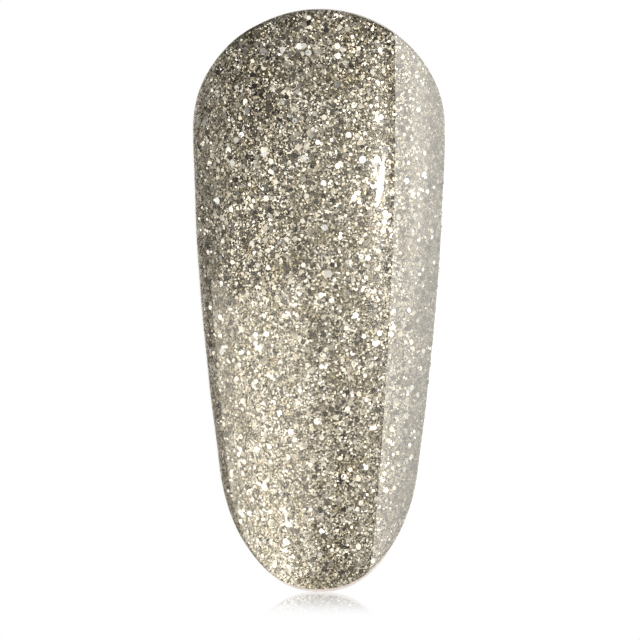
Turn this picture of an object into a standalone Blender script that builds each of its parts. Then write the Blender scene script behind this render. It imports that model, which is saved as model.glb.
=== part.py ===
"""Display nail: a full-cover false-nail tip painted with champagne glitter gel under a gloss top coat.

Units are metres. The nail stands on its free edge: +Z runs up to the cuticle end, -Y points out of
the painted face and +X to its right. The origin is on the bare underside, at the middle of the area
that is stuck to a fingernail or a display stick.

Every layer is the same sheet at its own distance from the tip's face, thickened with Solidify:
tip, base coat, first and second glitter coat and top coat. The loose mirror flakes lie between the
second glitter coat and the top coat.
"""

import math
import random

import bmesh
import bpy
from mathutils import Matrix, Vector

MM = 0.001

# Driving dimensions of the moulded tip
TIP_WIDTH = 11.85 * MM
TIP_LENGTH = 27.6 * MM
CUTICLE_END = 5.45 * MM  # from the cuticle end to the widest place
BOND_CENTRE = 10.0 * MM  # from the cuticle end to the origin, where the long arch has its crown
SIDE_ANGLE = math.radians(62)  # how far the face has turned away at each side wall
ARCH_RADIUS = 80 * MM  # of the crown line, seen from the side

# Outline: superellipse ends, joined by side walls that draw in towards the free edge
CUTICLE_ROUNDNESS = 2.0
FREE_EDGE_ROUNDNESS = 2.35
FREE_EDGE_START = 0.735  # share of the way from the widest place to the free edge
TAPER = 0.363  # share of the width that the side walls lose on that way
TAPER_POWER = 1.7

# Wall of the tip: thin under the cuticle, and thicker past the step where a fingernail ends
TIP_WALL = 0.62 * MM
CUTICLE_WALL_SHARE = 0.48
BOND_WALL_SHARE = 0.66
STEP_STATION = 16.0 * MM  # from the cuticle end, on the crown line
STEP_BOW = 2.2 * MM  # how far the step curves towards the cuticle at the side walls
STEP_RAMP = 1.6 * MM
RIM_RADIUS = 0.07 * MM

# Gel layers, and the gaps between them
FILM_GAP = 0.02 * MM
BASE_COAT = 0.04 * MM
GLITTER_COAT = 0.05 * MM
TOP_COAT = 0.10 * MM
FLAKE_GAP = 0.06 * MM  # the room between the second glitter coat and the top coat

# The gel stops short of the tip's edge: a hair at the cuticle and sides, more at the free edge
CUTICLE_MARGIN = 0.10 * MM
FREE_EDGE_MARGIN = 0.20 * MM
SIDE_MARGIN = 0.18 * MM
GEL_DRIFT = -0.03 * MM  # the gel sits a little to the left, so the bare edge shows more on the right

# Mirror flakes
FLAKE_COUNT = 40
FLAKE_RADIUS = 0.125 * MM
FLAKE_THICKNESS = 0.02 * MM
FLAKE_TILT = math.radians(2.5)
FLAKE_FIELD = 0.92  # share of the sheet's radius that the flakes fill
GOLDEN_ANGLE = math.pi * (3 - math.sqrt(5))

# Facets
COLUMNS = 18
ROWS = 26
PROBE = 0.01 * MM  # step used to find the face's slope


def superellipse(share, roundness):
    """Height over the unit interval of a curve that falls from 1 to 0 as share goes from 0 to 1."""
    return (1 - min(share, 1) ** roundness) ** (1 / roundness)


def taper(station):
    """Share of the full width that the side walls leave at this distance from the cuticle end."""
    way = max(0, station - CUTICLE_END) / (TIP_LENGTH - CUTICLE_END)
    return 1 - TAPER * way**TAPER_POWER


def half_width(station):
    """Half the width of the outline at this distance from the cuticle end."""
    if station < CUTICLE_END:
        return TIP_WIDTH / 2 * superellipse((CUTICLE_END - station) / CUTICLE_END, CUTICLE_ROUNDNESS)
    way = (station - CUTICLE_END) / (TIP_LENGTH - CUTICLE_END)
    share = max(0, way - FREE_EDGE_START) / (1 - FREE_EDGE_START)
    return TIP_WIDTH / 2 * taper(station) * superellipse(share, FREE_EDGE_ROUNDNESS)


def face_point(x, station):
    """The tip's painted face: a round cross-section that shrinks with the taper, on an arched crown."""
    radius = TIP_WIDTH / 2 * taper(station) / math.sin(SIDE_ANGLE)
    depth = radius - math.sqrt(max(radius**2 - x**2, 0))
    arch = (station - BOND_CENTRE) ** 2 / (2 * ARCH_RADIUS)
    return Vector((x, depth + arch - TIP_WALL * BOND_WALL_SHARE, BOND_CENTRE - station))


def face_normal(x, station):
    """Outward direction of the painted face."""
    across = face_point(x + PROBE, station) - face_point(x - PROBE, station)
    down = face_point(x, station + PROBE) - face_point(x, station - PROBE)
    return down.cross(across).normalized()


def on_outline(across, along, gel):
    """(x, station) inside the gel's or the tip's edge, for a point of the unit disc, +1 at the cuticle."""
    reach = math.sqrt(max(1 - along**2, 0))
    station = TIP_LENGTH * (1 - along) / 2
    x = half_width(station) * (across / reach if reach > 1e-6 else 0)
    if gel:
        x = x * (1 - SIDE_MARGIN / (TIP_WIDTH / 2)) + GEL_DRIFT
        station = CUTICLE_MARGIN + station * (1 - (CUTICLE_MARGIN + FREE_EDGE_MARGIN) / TIP_LENGTH)
    return x, station


def wall_share(x, station):
    """The tip's wall at this place, as a share of its thickest."""
    bond = CUTICLE_WALL_SHARE + (BOND_WALL_SHARE - CUTICLE_WALL_SHARE) * min(station / BOND_CENTRE, 1)
    step = STEP_STATION - STEP_BOW * (x / (TIP_WIDTH / 2)) ** 2
    rise = min(max((station - step) / STEP_RAMP, 0), 1)
    return bond + (1 - bond) * rise * rise * (3 - 2 * rise)


def material(name, colour, roughness, metallic=0.0, clear=0.0):
    """A Principled material; clear is the share of light that it lets through."""
    made = bpy.data.materials.new(name)
    made.use_nodes = True
    inputs = made.node_tree.nodes["Principled BSDF"].inputs
    inputs["Base Color"].default_value = (*colour, 1)
    inputs["Roughness"].default_value = roughness
    inputs["Metallic"].default_value = metallic
    inputs["Transmission Weight"].default_value = clear
    return made


def sheet(name, lift, look, gel):
    """An open sheet over the whole outline, at this distance outside the tip's face."""
    shape = bmesh.new()
    bmesh.ops.create_grid(shape, x_segments=COLUMNS, y_segments=ROWS, size=1)
    for vertex in shape.verts:
        a, b = vertex.co.x, vertex.co.y
        disc = a * math.sqrt(1 - b * b / 2), b * math.sqrt(1 - a * a / 2)
        place = on_outline(*disc, gel)
        vertex.co = face_point(*place) + face_normal(*place) * lift
    mesh = bpy.data.meshes.new(name)
    shape.to_mesh(mesh)
    shape.free()
    mesh.shade_smooth()
    mesh.materials.append(look)
    made = bpy.data.objects.new(name, mesh)
    bpy.context.scene.collection.objects.link(made)
    return made


def thicken(sheet_object, thickness):
    """Grows the sheet inwards, from its outer face towards the finger."""
    solidify = sheet_object.modifiers.new("thickness", "SOLIDIFY")
    solidify.thickness = thickness
    solidify.offset = -1
    solidify.use_even_offset = True
    return solidify


def nail_tip(look):
    """The moulded tip, with its stepped wall and eased rim."""
    tip = sheet("nail_tip", 0, look, gel=False)
    group = tip.vertex_groups.new(name="wall")
    for vertex in tip.data.vertices:
        station = BOND_CENTRE - vertex.co.z
        group.add([vertex.index], wall_share(vertex.co.x, station), "REPLACE")
    thicken(tip, TIP_WALL).vertex_group = group.name
    bevel = tip.modifiers.new("rim", "BEVEL")
    bevel.width = RIM_RADIUS
    bevel.segments = 2
    bevel.limit_method = "ANGLE"
    bevel.angle_limit = math.radians(50)


def gel_layers(looks):
    """The four cured films, from the tip outwards. Returns the height of the flakes' middle over the tip."""
    floor = FILM_GAP
    layers = (
        ("base_coat", BASE_COAT, looks["clear_gel"], FILM_GAP),
        ("glitter_coat_first", GLITTER_COAT, looks["glitter_gel"], FILM_GAP),
        ("glitter_coat_second", GLITTER_COAT, looks["glitter_gel"], FLAKE_GAP),
        ("top_coat", TOP_COAT, looks["clear_gel"], 0),
    )
    flake_height = 0
    for name, thickness, look, room_above in layers:
        thicken(sheet(name, floor + thickness, look, gel=True), thickness)
        if room_above == FLAKE_GAP:
            flake_height = floor + thickness + room_above / 2
        floor += thickness + room_above
    return flake_height


def flake_mesh(look):
    """One six-sided mirror flake, lying flat."""
    shape = bmesh.new()
    bmesh.ops.create_cone(
        shape,
        cap_ends=True,
        segments=6,
        radius1=FLAKE_RADIUS,
        radius2=FLAKE_RADIUS,
        depth=FLAKE_THICKNESS,
    )
    mesh = bpy.data.meshes.new("mirror_flake")
    shape.to_mesh(mesh)
    shape.free()
    mesh.materials.append(look)
    return mesh


def mirror_flakes(look, height):
    """Flakes spread over the face on a sunflower spiral, each turned and tipped its own way."""
    mesh = flake_mesh(look)
    chance = random.Random(7)
    for number in range(FLAKE_COUNT):
        reach = FLAKE_FIELD * math.sqrt((number + 0.5) / FLAKE_COUNT)
        angle = number * GOLDEN_ANGLE
        place = on_outline(reach * math.cos(angle), reach * math.sin(angle), gel=True)
        normal = face_normal(*place)
        tilt = Matrix.Rotation(FLAKE_TILT * chance.uniform(-1, 1), 4, "X")
        turn = Matrix.Rotation(chance.uniform(0, math.tau), 4, "Z")
        stand = normal.to_track_quat("Z", "Y").to_matrix().to_4x4()
        flake = bpy.data.objects.new(f"mirror_flake_{number + 1:02d}", mesh)
        flake.matrix_world = Matrix.Translation(face_point(*place) + normal * height) @ stand @ tilt @ turn
        bpy.context.scene.collection.objects.link(flake)


def main():
    for old in list(bpy.data.objects):
        bpy.data.objects.remove(old, do_unlink=True)
    looks = {
        "tip_plastic": material("tip_plastic", (0.90, 0.78, 0.74), 0.38),
        "clear_gel": material("clear_gel", (0.96, 0.95, 0.92), 0.05, clear=1.0),
        "glitter_gel": material("glitter_gel", (0.52, 0.47, 0.37), 0.30, metallic=0.8),
        "mirror_flake": material("mirror_flake", (0.90, 0.86, 0.74), 0.12, metallic=1.0),
    }
    nail_tip(looks["tip_plastic"])
    flake_height = gel_layers(looks)
    mirror_flakes(looks["mirror_flake"], flake_height)


main()
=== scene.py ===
"""Looks of the painted false nail: smooth shells for the tip and its gel coats, loose hexagonal glitter,
studio light, a white sweep with a short reflection, and a level camera.

Units are metres, in the CAD frame: +Z runs up to the cuticle end and -Y points out of the painted face.
"Station" is the distance down from the cuticle end. Every coat is the tip's face lifted along its normal.
"""

import math

import bpy
import numpy as np
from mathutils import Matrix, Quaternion, Vector


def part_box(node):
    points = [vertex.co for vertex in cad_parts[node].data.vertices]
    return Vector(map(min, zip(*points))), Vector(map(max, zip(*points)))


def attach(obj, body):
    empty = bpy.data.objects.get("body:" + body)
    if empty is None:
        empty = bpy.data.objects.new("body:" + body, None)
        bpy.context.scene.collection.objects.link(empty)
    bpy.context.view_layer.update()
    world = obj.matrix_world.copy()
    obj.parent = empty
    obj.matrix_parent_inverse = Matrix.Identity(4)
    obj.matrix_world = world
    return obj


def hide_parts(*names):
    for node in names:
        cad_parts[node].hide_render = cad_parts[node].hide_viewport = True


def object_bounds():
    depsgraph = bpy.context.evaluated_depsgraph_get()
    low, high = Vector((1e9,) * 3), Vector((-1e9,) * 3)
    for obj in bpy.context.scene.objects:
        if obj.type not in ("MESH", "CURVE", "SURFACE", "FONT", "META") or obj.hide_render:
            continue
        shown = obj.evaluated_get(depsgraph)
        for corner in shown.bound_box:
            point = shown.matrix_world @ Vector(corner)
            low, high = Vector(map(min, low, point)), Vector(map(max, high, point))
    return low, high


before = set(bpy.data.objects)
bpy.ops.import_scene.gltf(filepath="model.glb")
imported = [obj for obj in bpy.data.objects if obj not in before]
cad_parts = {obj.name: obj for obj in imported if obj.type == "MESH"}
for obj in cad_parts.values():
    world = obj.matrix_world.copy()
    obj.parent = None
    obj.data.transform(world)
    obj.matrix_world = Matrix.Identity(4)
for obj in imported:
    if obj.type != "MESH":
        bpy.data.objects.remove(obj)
cad_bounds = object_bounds()
nail_centre = (cad_bounds[0] + cad_bounds[1]) / 2

MM = 0.001

# The tip, from the CAD solid, and the shape that part.py gives it
tip_low, tip_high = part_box("nail_tip")
RIM_TRIM = 0.02 * MM  # what the eased rim takes off each side wall
TIP_WIDTH = tip_high.x - tip_low.x + 2 * RIM_TRIM
TIP_LENGTH = tip_high.z - tip_low.z
BOND_CENTRE = tip_high.z
CUTICLE_END = 5.45 * MM
SIDE_ANGLE = math.radians(62)
ARCH_RADIUS = 80 * MM
FREE_EDGE_ROUNDNESS = 2.35
FREE_EDGE_START = 0.735
TAPER = 0.363
TAPER_POWER = 1.7
TIP_WALL = 0.62 * MM
CUTICLE_WALL_SHARE = 0.48
BOND_WALL_SHARE = 0.66
STEP_STATION = 16.0 * MM
STEP_BOW = 2.2 * MM
STEP_RAMP = 1.6 * MM

# Each film face's height over the tip: in full, at the outline, and how far in it is full
BASE_FLOOR = (0.010 * MM, 0.008 * MM, 0.3 * MM)
BASE_TOP = (0.060 * MM, 0.045 * MM, 0.3 * MM)
FIRST_FLOOR = (0.065 * MM, 0.050 * MM, 0.3 * MM)
FIRST_TOP = (0.130 * MM, 0.095 * MM, 0.3 * MM)
SECOND_FLOOR = (0.135 * MM, 0.100 * MM, 0.3 * MM)
SECOND_TOP = (0.200 * MM, 0.145 * MM, 0.3 * MM)
FILM_FLOOR = (0.265 * MM, 0.150 * MM, 0.8 * MM)
FILM_TOP = (0.370 * MM, 0.160 * MM, 0.8 * MM)

# How far each coat stops inside the tip's outline: at the cuticle, the sides and the free edge
BASE_MARGIN = (0.04 * MM, 0.02 * MM, 0.16 * MM)
FIRST_MARGIN = (0.06 * MM, 0.03 * MM, 0.15 * MM)
SECOND_MARGIN = (0.07 * MM, 0.035 * MM, 0.16 * MM)
FILM_MARGIN = (0.06 * MM, 0.03 * MM, 0.15 * MM)
EDGE_WAVE = 0.03 * MM  # how unevenly the brush left those edges
WAVE_TURNS = (3, 5, 8, 13, 21)
WAVE_SEED = 3
DRIFT = -0.05 * MM  # the coats sit a little to the left

# Flake colours
SPANGLE = (0.92, 0.89, 0.82)
SILVER = (0.77, 0.73, 0.63)
CHAMPAGNE = (0.74, 0.675, 0.54)
TAN = (0.47, 0.41, 0.31)
SLATE = (0.088, 0.078, 0.056)
PLUM = (0.10, 0.080, 0.065)
SMOKE = (0.065, 0.054, 0.038)

# The room's dim light, and its soft glows: azimuth, elevation and reach in degrees, strength
ROOM = 0.14
GLOWS = (
    (-120, 5, 40, 0.25),
    (-80, -30, 43, 1.65),
    (-46, -15, 26, 1.4),
    (-12, -9, 32, 1.15),
    (13, -4, 24, 0.95),
    (25, 1, 14, 1.4),
    (48, -5, 24, 2.0),
    (47, 1, 12, 3.6),
    (72, -22, 24, 0.3),
    (84, 5, 14, 2.0),
    (92, -4, 32, 0.4),
    (180, 0, 60, 0.86),
    (0, 85, 60, 0.5),
    (0, -85, 66, 1.1),
)
CARD_DISTANCE = 0.4  # of each light card from the nail's centre
LIGHT_COLOUR = (1, 0.965, 0.90)

# The flag that cuts the side light
FLAG_DISTANCE = 300 * MM
FLAG_WIDTH = 14 * MM
FLAG_OVERHANG = 5 * MM


# ---------------------------------------------------------------- shape of the nail


def superellipse(share, roundness):
    return (1 - np.minimum(share, 1) ** roundness) ** (1 / roundness)


def taper(station):
    way = np.maximum(0, station - CUTICLE_END) / (TIP_LENGTH - CUTICLE_END)
    return 1 - TAPER * way**TAPER_POWER


def half_width(station):
    """Half the width of the tip's outline at this station."""
    rise = np.clip((CUTICLE_END - station) / CUTICLE_END, 0, 1)
    way = (station - CUTICLE_END) / (TIP_LENGTH - CUTICLE_END)
    fall = np.clip((way - FREE_EDGE_START) / (1 - FREE_EDGE_START), 0, 1)
    return TIP_WIDTH / 2 * taper(station) * superellipse(rise, 2) * superellipse(fall, FREE_EDGE_ROUNDNESS)


def face_point(x, station):
    """Points of the tip's painted face, one per row."""
    radius = TIP_WIDTH / 2 * taper(station) / math.sin(SIDE_ANGLE)
    depth = radius - np.sqrt(np.maximum(radius**2 - x**2, 0))
    arch = (station - BOND_CENTRE) ** 2 / (2 * ARCH_RADIUS)
    return np.stack([x, depth + arch - TIP_WALL * BOND_WALL_SHARE, BOND_CENTRE - station], axis=-1)


def face_normal(x, station):
    step = 0.01 * MM
    across = face_point(x + step, station) - face_point(x - step, station)
    down = face_point(x, station + step) - face_point(x, station - step)
    normal = np.cross(down, across)
    return normal / np.linalg.norm(normal, axis=-1, keepdims=True)


def wall(x, station):
    """Thickness of the tip: thin under the cuticle, thicker past the step where a fingernail ends."""
    way = np.minimum(station / BOND_CENTRE, 1)
    bond = CUTICLE_WALL_SHARE + (BOND_WALL_SHARE - CUTICLE_WALL_SHARE) * way
    step = STEP_STATION - STEP_BOW * (x / (TIP_WIDTH / 2)) ** 2
    rise = np.clip((station - step) / STEP_RAMP, 0, 1)
    return TIP_WALL * (bond + (1 - bond) * rise * rise * (3 - 2 * rise))


# ---------------------------------------------------------------- sheets and shells


def spread(count):
    """Steps from -1 to 1, closer together towards both ends."""
    even = np.linspace(-1, 1, count)
    return 0.55 * even + 0.45 * np.sin(even * math.pi / 2)


def disc_grid(columns, rows):
    """A grid over the unit disc, finer towards its edge: across and along, each rows x columns."""
    a, b = np.meshgrid(spread(columns), spread(rows))
    return a * np.sqrt(1 - b * b / 2), b * np.sqrt(1 - a * a / 2)


def edge_distance(across, along):
    """About how far a point of the disc is from the outline, measured over the curved face."""
    reach = np.hypot(across, along)
    side, end = TIP_WIDTH, TIP_LENGTH / 2
    slope = np.sqrt((across / side) ** 2 + (along / end) ** 2)
    return (1 - reach) * reach / np.maximum(slope, 1e-9)


def build_up(across, along, film_face):
    """Height of a film face over the tip, rounded down to its height at the outline."""
    full, edge, run = film_face
    way = np.clip(edge_distance(across, along) / run, 0, 1)
    return edge + (full - edge) * np.sqrt(1 - (1 - way) ** 2)


def on_face(across, along):
    """(x, station) on the tip for points of the disc."""
    station = TIP_LENGTH * (1 - along) / 2
    reach = np.sqrt(np.maximum(1 - along**2, 0))
    x = half_width(station) * np.divide(across, reach, out=np.zeros_like(across), where=reach > 1e-6)
    return x, station


def on_coat(across, along, margins):
    """(x, station) inside the tip's outline by (cuticle, side, free edge) margins and the brush's wave."""
    cuticle, side, free_edge = margins
    angle = np.arctan2(along, across)
    chance = np.random.default_rng(WAVE_SEED)
    wave = np.zeros_like(angle)
    for turns in WAVE_TURNS:
        wave += np.sin(turns * angle + chance.uniform(0, math.tau)) * EDGE_WAVE / len(WAVE_TURNS)
    x, station = on_face(across, along)
    x = x * (1 - (side + wave) / (TIP_WIDTH / 2)) + DRIFT
    station = cuticle + wave + station * (1 - (cuticle + free_edge + 2 * wave) / TIP_LENGTH)
    return x, station


def shell(name, inner, outer, look, replaced):
    """A closed shell between two rows x columns grids of points, shaded smooth."""
    rows, columns = inner.shape[:2]
    count = rows * columns
    index = np.arange(count).reshape(rows, columns)
    corners = [index[:-1, :-1], index[:-1, 1:], index[1:, 1:], index[1:, :-1]]
    quads = np.stack(corners, axis=-1).reshape(-1, 4)
    ring = np.concatenate([index[0], index[1:, -1], index[-1, -2::-1], index[-2:0:-1, 0]])
    following = np.roll(ring, -1)
    rim = np.stack([ring, ring + count, following + count, following], axis=-1)
    faces = np.concatenate([quads, quads[:, ::-1] + count, rim])
    mesh = bpy.data.meshes.new(name)
    mesh.from_pydata(np.concatenate([outer.reshape(-1, 3), inner.reshape(-1, 3)]), [], faces.tolist())
    mesh.shade_smooth()
    mesh.set_sharp_from_angle(angle=math.radians(50))
    return piece(name, mesh, [look], replaced)


def piece(name, mesh, looks, replaced=()):
    """A visible piece that rides on the part's one body."""
    for look in looks:
        mesh.materials.append(look)
    made = bpy.data.objects.new(name, mesh)
    bpy.context.scene.collection.objects.link(made)
    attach(made, "root")
    if replaced:
        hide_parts(*replaced)
    return made


def coat(name, floor, top, margins, look, replaced, columns=80, rows=140):
    """A gel film between two heights over the tip."""
    across, along = disc_grid(columns, rows)
    place = on_coat(across, along, margins)
    face, normal = face_point(*place), face_normal(*place)
    inner = face + normal * build_up(across, along, floor)[..., None]
    outer = face + normal * build_up(across, along, top)[..., None]
    return shell(name, inner, outer, look, [replaced])


def tip(look):
    """The moulded tip, with its stepped wall and eased rim."""
    across, along = disc_grid(90, 160)
    place = on_face(across, along)
    outer, normal = face_point(*place), face_normal(*place)
    inner = outer - normal * wall(*place)[..., None]
    made = shell("tip_shell", inner, outer, look, ["nail_tip"])
    bevel = made.modifiers.new("rim", "BEVEL")
    bevel.width = 0.07 * MM
    bevel.segments = 3
    bevel.limit_method = "ANGLE"
    bevel.angle_limit = math.radians(50)
    return made


# ---------------------------------------------------------------- glitter


def on_disc(x, station):
    """The point of the unit disc that on_face carries to this place inside the outline."""
    along = 1 - 2 * station / TIP_LENGTH
    return x / half_width(station) * np.sqrt(1 - along**2), along


def scatter(count, chance, radius):
    """Evenly random places over the curved face for flakes of this radius, clear of the coats' edges."""
    half_arc = SIDE_ANGLE * TIP_WIDTH / 2 / math.sin(SIDE_ANGLE)
    x, station = np.empty(0), np.empty(0)
    while len(x) < count:
        arc = chance.uniform(-half_arc, half_arc, 4 * count)
        along = chance.uniform(radius, TIP_LENGTH - radius, 4 * count)
        bend = TIP_WIDTH / 2 * taper(along) / math.sin(SIDE_ANGLE)
        across = bend * np.sin(arc / bend)
        inside = (np.abs(arc / bend) < SIDE_ANGLE) & (np.abs(across) < half_width(along))
        across, along = across[inside], along[inside]
        margin = np.where(along < TIP_LENGTH / 2, FIRST_MARGIN[0], FIRST_MARGIN[2])
        clear = edge_distance(*on_disc(across, along)) > 1.35 * radius + margin + 0.10 * MM
        x, station = np.append(x, across[clear]), np.append(station, along[clear])
    return x[:count], station[:count]


def flake_height(x, station, share):
    """Height over the tip, at this share of the way from the glitter coat up to the top film."""
    place = on_disc(x, station)
    low, high = build_up(*place, SECOND_TOP), build_up(*place, FILM_FLOOR)
    return low + (high - low) * share


def hex_flakes(name, count, radius, thickness, tilt, looks, shares, seed):
    """Closed six-sided flakes, each lifted, turned and tipped its own way; shares pick each one's look."""
    chance = np.random.default_rng(seed)
    x, station = scatter(count, chance, radius)
    normal = face_normal(x, station)
    height = flake_height(x, station, chance.uniform(0, 0.6, count))
    centre = face_point(x, station) + normal * height[:, None]
    side = np.cross(normal, np.array([0.0, 0.0, 1.0]))
    side /= np.linalg.norm(side, axis=1, keepdims=True)
    lean = chance.normal(0, math.tan(tilt), (count, 2))
    up = normal + side * lean[:, :1] + np.cross(normal, side) * lean[:, 1:]
    up /= np.linalg.norm(up, axis=1, keepdims=True)
    first = np.cross(up, np.array([0.0, 0.0, 1.0]))
    first /= np.linalg.norm(first, axis=1, keepdims=True)
    second = np.cross(up, first)
    size = radius * chance.uniform(0.7, 1.35, count)
    turn = chance.uniform(0, math.tau, count)
    corners = []
    for level in (0.5, -0.5):
        for corner in range(6):
            angle = turn + corner * math.tau / 6
            reach = first * np.cos(angle)[:, None] + second * np.sin(angle)[:, None]
            corners.append(centre + reach * size[:, None] + up * thickness * level)
    points = np.stack(corners, axis=1).reshape(-1, 3)
    sides = [[k, k + 6, (k + 1) % 6 + 6, (k + 1) % 6] for k in range(6)]
    shape = [list(range(6)), list(range(11, 5, -1)), *sides]
    faces = [[12 * n + corner for corner in face] for n in range(count) for face in shape]
    mesh = bpy.data.meshes.new(name)
    mesh.from_pydata(points, [], faces)
    chosen = chance.choice(len(looks), count, p=np.array(shares) / sum(shares))
    mesh.polygons.foreach_set("material_index", np.repeat(chosen, len(shape)).astype(np.int32))
    return piece(name, mesh, looks)


# ---------------------------------------------------------------- materials


def new_material(name):
    made = bpy.data.materials.new(name)
    made.use_nodes = True
    return made, made.node_tree.nodes, made.node_tree.links


def node(nodes, kind, **settings):
    made = nodes.new(kind)
    for name, value in settings.items():
        setattr(made, name, value)
    return made


def millimetres(nodes, links):
    """The object's coordinates, in millimetres."""
    place = nodes.new("ShaderNodeTexCoord")
    scaled = node(nodes, "ShaderNodeVectorMath", operation="SCALE")
    scaled.inputs["Scale"].default_value = 1 / MM
    links.new(place.outputs["Object"], scaled.inputs[0])
    return scaled.outputs[0]


def ramp(nodes, links, source, stops, interpolation="LINEAR"):
    made = nodes.new("ShaderNodeValToRGB")
    made.color_ramp.interpolation = interpolation
    elements = made.color_ramp.elements
    while len(elements) < len(stops):
        elements.new(0.5)
    for element, (position, colour) in zip(elements, stops):
        element.position = position
        element.color = (*colour, 1)
    links.new(source, made.inputs["Fac"])
    return made.outputs["Color"]


def noise(nodes, links, scale, detail):
    """Soft random patches, this many to the millimetre."""
    made = nodes.new("ShaderNodeTexNoise")
    made.inputs["Scale"].default_value = scale
    made.inputs["Detail"].default_value = detail
    links.new(millimetres(nodes, links), made.inputs["Vector"])
    return made.outputs["Fac"]


def map_range(nodes, links, source, given, wanted, curve="LINEAR"):
    """The source, carried from the given range to the wanted one."""
    made = node(nodes, "ShaderNodeMapRange", interpolation_type=curve)
    made.inputs["From Min"].default_value, made.inputs["From Max"].default_value = given
    made.inputs["To Min"].default_value, made.inputs["To Max"].default_value = wanted
    links.new(source, made.inputs["Value"])
    return made.outputs[0]


def maths(nodes, links, operation, first, second):
    """A Math node; second may be a number."""
    made = node(nodes, "ShaderNodeMath", operation=operation)
    links.new(first, made.inputs[0])
    if isinstance(second, float):
        made.inputs[1].default_value = second
    else:
        links.new(second, made.inputs[1])
    return made.outputs[0]


def mix_shaders(nodes, links, share, first, second):
    """The first shader, with this share of the second."""
    made = nodes.new("ShaderNodeMixShader")
    for source, target in zip((share, first, second), made.inputs):
        links.new(source, target)
    return made.outputs[0]


def multiplied(nodes, links, first, second):
    """Two colours multiplied."""
    made = node(nodes, "ShaderNodeMix", data_type="RGBA", blend_type="MULTIPLY")
    made.inputs["Factor"].default_value = 1.0
    links.new(first, made.inputs[6])
    links.new(second, made.inputs[7])
    return made.outputs[2]


def cells(nodes, links, size):
    """Random cells of about this size in millimetres: (colour, distance) outputs."""
    made = nodes.new("ShaderNodeTexVoronoi")
    made.inputs["Scale"].default_value = 1 / size
    links.new(millimetres(nodes, links), made.inputs["Vector"])
    return made.outputs["Color"], made.outputs["Distance"]


def tipped_normal(nodes, links, colour, amount):
    """The surface normal, tipped by amount towards each cell's own random direction."""
    centred = node(nodes, "ShaderNodeVectorMath", operation="SUBTRACT")
    centred.inputs[1].default_value = (0.5, 0.5, 0.5)
    links.new(colour, centred.inputs[0])
    scaled = node(nodes, "ShaderNodeVectorMath", operation="SCALE")
    scaled.inputs["Scale"].default_value = 2 * amount
    links.new(centred.outputs[0], scaled.inputs[0])
    geometry = nodes.new("ShaderNodeNewGeometry")
    added = node(nodes, "ShaderNodeVectorMath", operation="ADD")
    links.new(geometry.outputs["Normal"], added.inputs[0])
    links.new(scaled.outputs[0], added.inputs[1])
    unit = node(nodes, "ShaderNodeVectorMath", operation="NORMALIZE")
    links.new(added.outputs[0], unit.inputs[0])
    return unit.outputs[0]


def painted_sparkle_ramp(nodes, links, source):
    """Painted sparkle and shade: from dark, as an edge-on flake looks, to bright, as a flat one catching
    the light looks, as many of each as packed glitter has.
    """
    stops = [
        (0.00, (0.045, 0.035, 0.020)),
        (0.13, (0.125, 0.105, 0.066)),
        (0.29, (0.27, 0.240, 0.172)),
        (0.46, (0.45, 0.412, 0.322)),
        (0.63, (0.63, 0.592, 0.488)),
        (0.80, (0.80, 0.762, 0.652)),
        (0.92, (0.94, 0.910, 0.82)),
    ]
    return ramp(nodes, links, source, stops, "CONSTANT")


def hue_ramp(nodes, links, source):
    stops = [
        (0.00, (1.00, 0.955, 0.90)),
        (0.18, (1.00, 0.970, 0.93)),
        (0.50, (1.00, 0.955, 0.92)),
        (0.80, (0.98, 0.975, 0.94)),
    ]
    return ramp(nodes, links, source, stops, "CONSTANT")


def glitter_cells(nodes, links, size, tilt, rough):
    """One size of flake: (tint with painted sparkle and shade, normal, roughness, another random number,
    distance from the middle).
    """
    colour, distance = cells(nodes, links, size)
    split = nodes.new("ShaderNodeSeparateColor")
    links.new(colour, split.inputs[0])
    # Painted sparkle and shade: a random colour per cell, dark as an edge-on flake looks and bright as a
    # flat one catching the light
    painted_sparkle = painted_sparkle_ramp(nodes, links, split.outputs["Green"])
    # The tint is that painted sparkle and shade times the cell's own hue
    tint = multiplied(nodes, links, painted_sparkle, hue_ramp(nodes, links, split.outputs["Red"]))
    roughness = map_range(nodes, links, split.outputs["Blue"], (0, 1), rough)
    normal = tipped_normal(nodes, links, colour, tilt)
    return tint, normal, roughness, split.outputs["Blue"], distance


def clouds(nodes, links):
    """Patches where the glitter lies a little thicker or thinner, olive where it is thin."""
    stops = [(0.36, (0.72, 0.68, 0.58)), (0.6, (1.0, 1.0, 1.0))]
    return ramp(nodes, links, noise(nodes, links, 1.1, 3), stops)


def glitter_gel(name, fine, coarse):
    """Packed glitter: each cell is a tiny mirror of its own tilt and of a tint that carries painted
    sparkle and shade, with larger flat discs.
    """
    made, nodes, links = new_material(name)
    shader = nodes["Principled BSDF"]
    shader.inputs["Metallic"].default_value = 1.0
    dust = glitter_cells(nodes, links, fine, 0.30, (0.14, 0.32))
    disc = glitter_cells(nodes, links, coarse, 0.10, (0.12, 0.28))
    inside = maths(nodes, links, "LESS_THAN", disc[4], 0.42)
    some = maths(nodes, links, "LESS_THAN", disc[3], 0.4)
    shown = maths(nodes, links, "MULTIPLY", inside, some)
    kinds = (("RGBA", 6, 2), ("VECTOR", 4, 1), ("FLOAT", 2, 0))
    mixed = []
    for index, (kind, first_input, output) in enumerate(kinds):
        mix = node(nodes, "ShaderNodeMix", data_type=kind)
        links.new(shown, mix.inputs["Factor"])
        links.new(dust[index], mix.inputs[first_input])
        links.new(disc[index], mix.inputs[first_input + 1])
        mixed.append(mix.outputs[output])
    clouded = multiplied(nodes, links, mixed[0], clouds(nodes, links))
    # The base colour carries the cells' painted sparkle and shade
    links.new(clouded, shader.inputs["Base Color"])
    links.new(mixed[1], shader.inputs["Normal"])
    links.new(mixed[2], shader.inputs["Roughness"])
    return made


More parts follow.
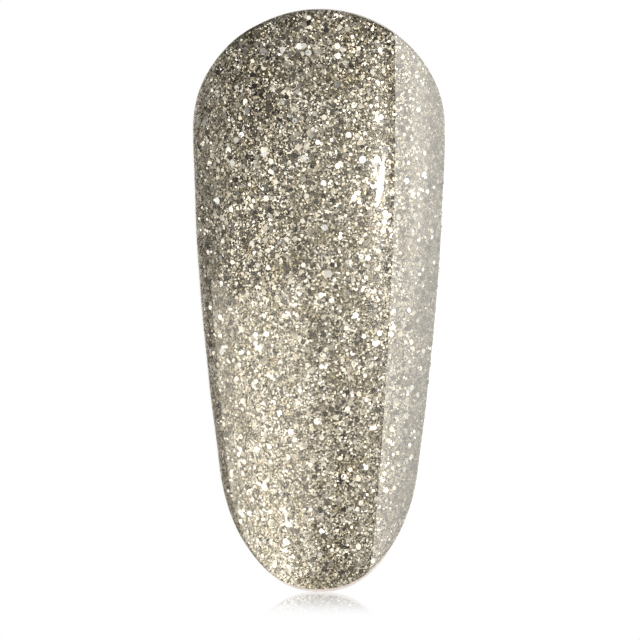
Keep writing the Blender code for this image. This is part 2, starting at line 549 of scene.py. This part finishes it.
def mirror_flake(name, colour, roughness):
    """A metallised flake: its tint drifts from one to the next, and fine scuffs change its polish."""
    made, nodes, links = new_material(name)
    shader = nodes["Principled BSDF"]
    shader.inputs["Metallic"].default_value = 1.0
    darker, lighter = tuple(0.82 * c for c in colour), tuple(min(1.12 * c, 1) for c in colour)
    tint = ramp(nodes, links, noise(nodes, links, 2.5, 1), [(0.35, darker), (0.65, lighter)])
    links.new(tint, shader.inputs["Base Color"])
    scuffs = noise(nodes, links, 18, 2)
    polish = map_range(nodes, links, scuffs, (0.3, 0.7), (roughness - 0.04, roughness + 0.06))
    links.new(polish, shader.inputs["Roughness"])
    return made


def clear_film(name):
    """Clear cured gel: Fresnel gloss and a trace of milky bloom, both on its outer side only."""
    made, nodes, links = new_material(name)
    nodes.remove(nodes["Principled BSDF"])
    clear = nodes.new("ShaderNodeBsdfTransparent")
    gloss = nodes.new("ShaderNodeBsdfGlossy")
    gloss.inputs["Roughness"].default_value = 0.05
    gloss.inputs["Color"].default_value = (1, 0.95, 0.84, 1)
    bloom = nodes.new("ShaderNodeBsdfDiffuse")
    bloom.inputs["Color"].default_value = (1, 0.965, 0.89, 1)
    fresnel = nodes.new("ShaderNodeFresnel")
    fresnel.inputs["IOR"].default_value = 1.5
    geometry = nodes.new("ShaderNodeNewGeometry")
    front = node(nodes, "ShaderNodeMath", operation="SUBTRACT")
    front.inputs[0].default_value = 1.0
    links.new(geometry.outputs["Backfacing"], front.inputs[1])
    mirrored = maths(nodes, links, "MULTIPLY", fresnel.outputs[0], front.outputs[0])
    milky = maths(nodes, links, "MULTIPLY", front.outputs[0], 0.02)
    glazed = mix_shaders(nodes, links, mirrored, clear.outputs[0], gloss.outputs[0])
    film = mix_shaders(nodes, links, milky, glazed, bloom.outputs[0])
    links.new(film, nodes["Material Output"].inputs["Surface"])
    return made


def tip_plastic():
    """Pale pink moulded plastic, a little translucent, with a fine mould texture."""
    made, nodes, links = new_material("tip_plastic")
    shader = nodes["Principled BSDF"]
    stops = [(0.3, (0.88, 0.76, 0.71)), (0.7, (0.92, 0.82, 0.78))]
    tint = ramp(nodes, links, noise(nodes, links, 0.35, 3), stops)
    links.new(tint, shader.inputs["Base Color"])
    grain = noise(nodes, links, 14, 4)
    links.new(map_range(nodes, links, grain, (0, 1), (0.3, 0.5)), shader.inputs["Roughness"])
    bump = nodes.new("ShaderNodeBump")
    bump.inputs["Strength"].default_value = 0.25
    bump.inputs["Distance"].default_value = 0.02 * MM
    links.new(grain, bump.inputs["Height"])
    links.new(bump.outputs[0], shader.inputs["Normal"])
    shader.inputs["Subsurface Weight"].default_value = 0.3
    shader.inputs["Subsurface Radius"].default_value = (1.0, 0.6, 0.5)
    shader.inputs["Subsurface Scale"].default_value = 0.4 * MM
    return made


# ---------------------------------------------------------------- stage


def sweep(ground):
    """A white floor that mirrors only close to the nail."""
    size = 3.0
    mesh = bpy.data.meshes.new("floor")
    corners = [(-size, -size, 0), (size, -size, 0), (size, size, 0), (-size, size, 0)]
    mesh.from_pydata(corners, [], [(0, 1, 2, 3)])
    made, nodes, links = new_material("white_floor")
    nodes.remove(nodes["Principled BSDF"])
    white = nodes.new("ShaderNodeEmission")
    gloss = nodes.new("ShaderNodeBsdfGlossy")
    gloss.inputs["Roughness"].default_value = 0.0
    gloss.inputs["Color"].default_value = (1, 1, 1, 1)
    place = nodes.new("ShaderNodeTexCoord")
    away = node(nodes, "ShaderNodeVectorMath", operation="LENGTH")
    links.new(place.outputs["Object"], away.inputs[0])
    fade = (1 * MM, 23.5 * MM)
    near = map_range(nodes, links, away.outputs["Value"], fade, (0.66, 0.0), "SMOOTHSTEP")
    fresnel = nodes.new("ShaderNodeFresnel")
    fresnel.inputs["IOR"].default_value = 1.5
    share = maths(nodes, links, "MULTIPLY", near, fresnel.outputs[0])
    surface = mix_shaders(nodes, links, share, white.outputs[0], gloss.outputs[0])
    links.new(surface, nodes["Material Output"].inputs["Surface"])
    mesh.materials.append(made)
    floor = bpy.data.objects.new("floor", mesh)
    floor.location.z = ground
    bpy.context.scene.collection.objects.link(floor)
    floor.visible_glossy = False


def direction(azimuth, elevation):
    """Azimuth 0 is in front of the painted face, and 90 to its right; degrees."""
    a, e = math.radians(azimuth), math.radians(elevation)
    return Vector((math.sin(a) * math.cos(e), -math.cos(a) * math.cos(e), math.sin(e)))


def lobe(nodes, links, towards, reach, strength, base):
    """Light of this strength from a direction, fading to base at reach degrees from it."""
    place = nodes.new("ShaderNodeTexCoord")
    facing = node(nodes, "ShaderNodeVectorMath", operation="DOT_PRODUCT")
    facing.inputs[1].default_value = towards
    links.new(place.outputs["Generated"], facing.inputs[0])
    span = (math.cos(math.radians(reach)), 1)
    light = (base, base + strength)
    return map_range(nodes, links, facing.outputs["Value"], span, light, "SMOOTHSTEP")


def studio_air():
    """White to the camera; to what it lights, a dim room with soft glows all round."""
    world = bpy.data.worlds.new("studio")
    bpy.context.scene.world = world
    world.use_nodes = True
    nodes, links = world.node_tree.nodes, world.node_tree.links
    light = None
    for azimuth, elevation, reach, strength in GLOWS:
        towards = direction(azimuth, elevation)
        if light is None:
            light = lobe(nodes, links, towards, reach, strength, ROOM)
        else:
            light = maths(nodes, links, "ADD", lobe(nodes, links, towards, reach, strength, 0), light)
    path = nodes.new("ShaderNodeLightPath")
    seen = node(nodes, "ShaderNodeMix", data_type="FLOAT")
    links.new(path.outputs["Is Camera Ray"], seen.inputs["Factor"])
    links.new(light, seen.inputs[2])
    seen.inputs[3].default_value = 1.0
    links.new(seen.outputs[0], nodes["Background"].inputs["Strength"])
    nodes["Background"].inputs["Color"].default_value = (1, 1, 1, 1)


def card(name, azimuth, elevation, size, power, lit, shape="RECTANGLE", roll=0):
    """A light that faces the nail, rolled about its aim by this many degrees, and lights one piece."""
    light = bpy.data.lights.new(name, "AREA")
    light.shape = shape
    light.size, light.size_y = size
    light.energy = power * size[0] * size[1]
    light.color = LIGHT_COLOUR
    made = bpy.data.objects.new(name, light)
    away = direction(azimuth, elevation)
    made.location = nail_centre + away * CARD_DISTANCE
    turn = Quaternion((0, 0, 1), math.radians(roll))
    made.rotation_euler = (away.to_track_quat("Z", "Y") @ turn).to_euler()
    made.visible_camera = False
    bpy.context.scene.collection.objects.link(made)
    link_light(made, "receiver_collection", lit)


def side_light(azimuth, elevation, edge_angle, strength, lit):
    """Hard light from one side, with a flag cut to the nail's curve so that it starts at a crisp line."""
    light = bpy.data.lights.new("side_light", "SUN")
    light.energy = strength
    light.angle = 0
    made = bpy.data.objects.new("side_light", light)
    towards = direction(azimuth, elevation)
    made.rotation_euler = towards.to_track_quat("Z", "Y").to_euler()
    bpy.context.scene.collection.objects.link(made)
    station = np.linspace(0, TIP_LENGTH, 60)
    x = TIP_WIDTH / 2 * taper(station) / math.sin(SIDE_ANGLE) * math.sin(edge_angle)
    edge = face_point(x, station) + face_normal(x, station) * FILM_TOP[0]
    edge += np.array(towards) * FLAG_DISTANCE
    edge[0, 2] += FLAG_OVERHANG
    edge[-1, 2] -= FLAG_OVERHANG
    front = edge + np.array(direction(azimuth - 90, 0)) * FLAG_WIDTH
    mesh = bpy.data.meshes.new("flag")
    count = len(station)
    faces = [(k, k + 1, k + 1 + count, k + count) for k in range(count - 1)]
    mesh.from_pydata(np.concatenate([edge, front]), [], faces)
    flag = bpy.data.objects.new("flag", mesh)
    bpy.context.scene.collection.objects.link(flag)
    for seen in ("camera", "diffuse", "glossy", "transmission"):
        setattr(flag, f"visible_{seen}", False)
    link_light(made, "receiver_collection", lit)
    link_light(made, "blocker_collection", flag)


def link_light(light, role, target):
    """Limits the light to one receiver, or its shadow to one blocker."""
    group = bpy.data.collections.new(f"{light.name}_{role}")
    group.objects.link(target)
    setattr(light.light_linking, role, group)


def level_camera():
    """Level with the nail and far off, so that its sides stay parallel."""
    data = bpy.data.cameras.new("camera")
    distance, view_width, drop = 0.30, 30.33 * MM, 0.9 * MM
    data.lens = data.sensor_width * distance / view_width
    data.clip_start, data.clip_end = 0.01, 10
    made = bpy.data.objects.new("camera", data)
    made.location = (0, nail_centre.y - distance, nail_centre.z - drop)
    made.rotation_euler = (math.pi / 2, 0, 0)
    bpy.context.scene.collection.objects.link(made)
    bpy.context.scene.camera = made


bpy.context.scene.view_settings.view_transform = "Standard"

film = clear_film("clear_gel")
first_look = glitter_gel("glitter_gel_first", 0.074, 0.20)
second_look = glitter_gel("glitter_gel_second", 0.070, 0.18)
tip_piece = tip(tip_plastic())
coat("base_film", BASE_FLOOR, BASE_TOP, BASE_MARGIN, film, "base_coat")
coat(
    "glitter_layer_first",
    FIRST_FLOOR,
    FIRST_TOP,
    FIRST_MARGIN,
    first_look,
    "glitter_coat_first",
)
coat(
    "glitter_layer_second",
    SECOND_FLOOR,
    SECOND_TOP,
    SECOND_MARGIN,
    second_look,
    "glitter_coat_second",
)
top = coat("top_film", FILM_FLOOR, FILM_TOP, FILM_MARGIN, film, "top_coat", 100, 180)

looks = [
    mirror_flake("flake_silver", SILVER, 0.16),
    mirror_flake("flake_champagne", CHAMPAGNE, 0.18),
    mirror_flake("flake_tan", TAN, 0.20),
    mirror_flake("flake_slate", SLATE, 0.20),
    mirror_flake("flake_plum", PLUM, 0.20),
    mirror_flake("flake_smoke", SMOKE, 0.22),
]
spangle = [mirror_flake("flake_spangle", SPANGLE, 0.16)]
many_dark, many_bright = (3, 4, 4, 2, 2, 4), (5, 4, 4, 2, 1, 2)
hex_flakes("flakes_large", 1400, 0.115 * MM, 0.012 * MM, math.radians(8), looks, many_dark, 11)
hex_flakes("flakes_small", 5000, 0.055 * MM, 0.010 * MM, math.radians(15), looks, many_bright, 12)
hex_flakes("flakes_spangle", 75, 0.15 * MM, 0.012 * MM, math.radians(6), spangle, (1,), 5)
# The CAD's own flakes stay where they are and take the silver look
for number in range(1, 41):
    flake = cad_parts[f"mirror_flake_{number:02d}"]
    flake.data.materials.clear()
    flake.data.materials.append(looks[0])

sweep(cad_bounds[0].z)
studio_air()
side_light(45, 27, math.radians(30.2), 59, top)
card("lamp", 48.8, 3.8, (0.048, 0.0135), 450, top, "ELLIPSE", 20)
card("left_box", -57, -22, (0.83, 0.25), 9, top)
card("soft", -20, -20, (0.6, 0.6), 3, tip_piece)
level_camera()
